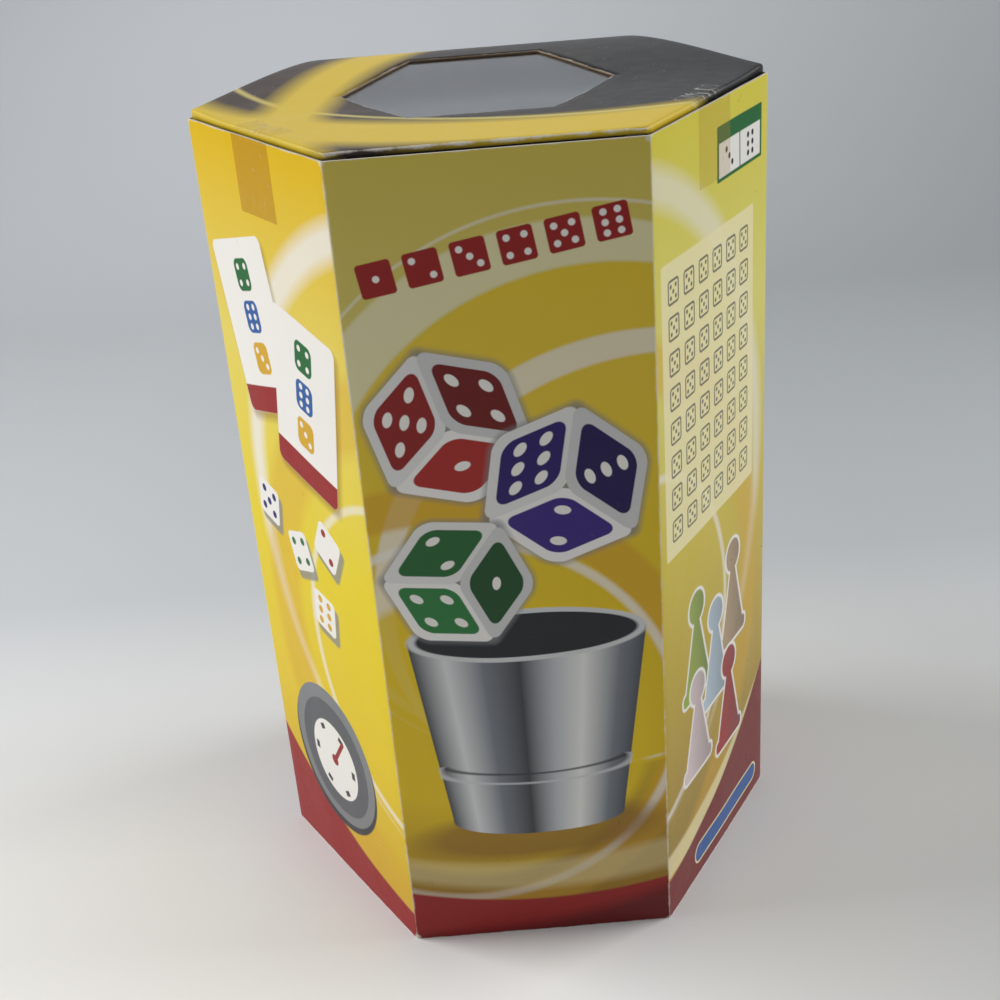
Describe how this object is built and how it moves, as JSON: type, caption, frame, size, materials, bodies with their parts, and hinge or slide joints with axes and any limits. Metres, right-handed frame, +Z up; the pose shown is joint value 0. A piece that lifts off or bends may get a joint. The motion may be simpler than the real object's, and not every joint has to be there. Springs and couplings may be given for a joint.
{
  "type": "boxed electronic dice game",
  "caption": "Six-sided printed game carton with a tuck lid and window, holding a round talking dice-game unit with a die-shaped head, its dice, cards and leaflet.",
  "frame": {"origin": "middle of the carton's base, on the surface that it stands on", "axes": "+Z up the carton, front panel towards -Y, lid hinged along the back edge at +Y"},
  "size_m": [0.1958, 0.161, 0.2988],
  "materials": {
    "carton_print": "gloss-varnished print on white board",
    "lid_print": "gloss-varnished dark print, scuffed",
    "bare_board": "uncoated grey board",
    "clear_film": "clear window film",
    "clear_tape": "aged clear tape",
    "leaflet_paper": "folded paper",
    "card_stock": "coated playing card",
    "tray_plastic": "moulded, fine grain",
    "foot_rubber": "matt rubber",
    "dice_plastic": "polished white",
    "dome_silver": "silver paint on moulded plastic",
    "black_plastic": "gloss black",
    "inner_plastic": "unpainted moulding",
    "steel": "zinc-plated steel",
    "circuit_green": "solder mask",
    "chip_black": "moulded package",
    "speaker_frame": "pressed frame and paper cone",
    "cell_wrap": "shrink sleeve",
    "membrane_rubber": "silicone rubber",
    "head_white": "white moulding",
    "face_red": "coloured moulding",
    "face_purple": "coloured moulding",
    "face_yellow": "coloured moulding",
    "face_green": "coloured moulding",
    "face_orange": "coloured moulding",
    "face_blue": "coloured moulding"
  },
  "bodies": {
    "carton": {"carton_sleeve": "carton_print", "bottom_panel": "carton_print", "bottom_tabs": "bare_board", "side_tapes": "clear_tape", "rule_leaflet": "leaflet_paper", "storage_tray": "tray_plastic", "tray_feet": "foot_rubber", "card_deck": "card_stock", "game_dice": "dice_plastic"},
    "lid": {"lid_panel": "lid_print", "window_film": "clear_film", "lid_tapes": "clear_tape", "lid_rear_tabs": "lid_print"},
    "front_tab": {"lid_front_tab": "lid_print"},
    "left_tab": {"lid_left_tab": "lid_print"},
    "right_tab": {"lid_right_tab": "lid_print"},
    "dome": {"dome_shell": "dome_silver", "dome_base": "inner_plastic", "lock_ring": "inner_plastic", "dome_screws": "steel", "circuit_board": "circuit_green", "sound_chip": "chip_black", "speaker": "speaker_frame", "battery_box": "inner_plastic", "battery_cells": "cell_wrap", "battery_contacts": "steel", "battery_door": "inner_plastic", "door_screw": "steel", "button_membrane": "membrane_rubber", "button_switch": "circuit_green", "neck_collar": "black_plastic", "head_bolt": "steel", "head_lower_shell": "head_white", "head_upper_shell": "head_white", "face_plate_red": "face_red", "face_plate_purple": "face_purple", "face_plate_yellow": "face_yellow", "face_plate_green": "face_green", "face_plate_orange": "face_orange", "face_plate_blue": "face_blue", "face_pips": "head_white"},
    "button": {"button_cap": "black_plastic"}
  },
  "joints": [
    {"name": "lid_hinge", "type": "hinge", "parent": "carton", "child": "lid", "pos_m": [0, 0.08017, 0.29199], "axis": [-1, 0, 0], "range_deg": [0, 180]},
    {"name": "front_tab_fold", "type": "hinge", "parent": "lid", "child": "front_tab", "pos_m": [0, -0.07832, 0.29299], "axis": [-1, 0, 0], "range_deg": [0, 30]},
    {"name": "left_tab_fold", "type": "hinge", "parent": "lid", "child": "left_tab", "pos_m": [-0.07081, -0.03914, 0.29299], "axis": [-0.5306, 0.8476, 0], "range_deg": [0, 30]},
    {"name": "right_tab_fold", "type": "hinge", "parent": "lid", "child": "right_tab", "pos_m": [0.07081, -0.03914, 0.29299], "axis": [-0.5306, -0.8476, 0], "range_deg": [0, 30]},
    {"name": "dome_twist", "type": "hinge", "parent": "carton", "child": "dome", "pos_m": [0, 0, 0.037], "axis": [0, 0, 1], "range_deg": [0, 20]},
    {"name": "button_press", "type": "slide", "parent": "dome", "child": "button", "axis": [0.5908, 0.6562, -0.4695], "range_m": [0, 0.0025], "stiffness_N_per_m": 600}
  ],
  "couplings": [
    {"joint": "front_tab_fold", "follows": "lid_hinge", "ratio": 0.16667},
    {"joint": "left_tab_fold", "follows": "lid_hinge", "ratio": 0.16667},
    {"joint": "right_tab_fold", "follows": "lid_hinge", "ratio": 0.16667}
  ]
}
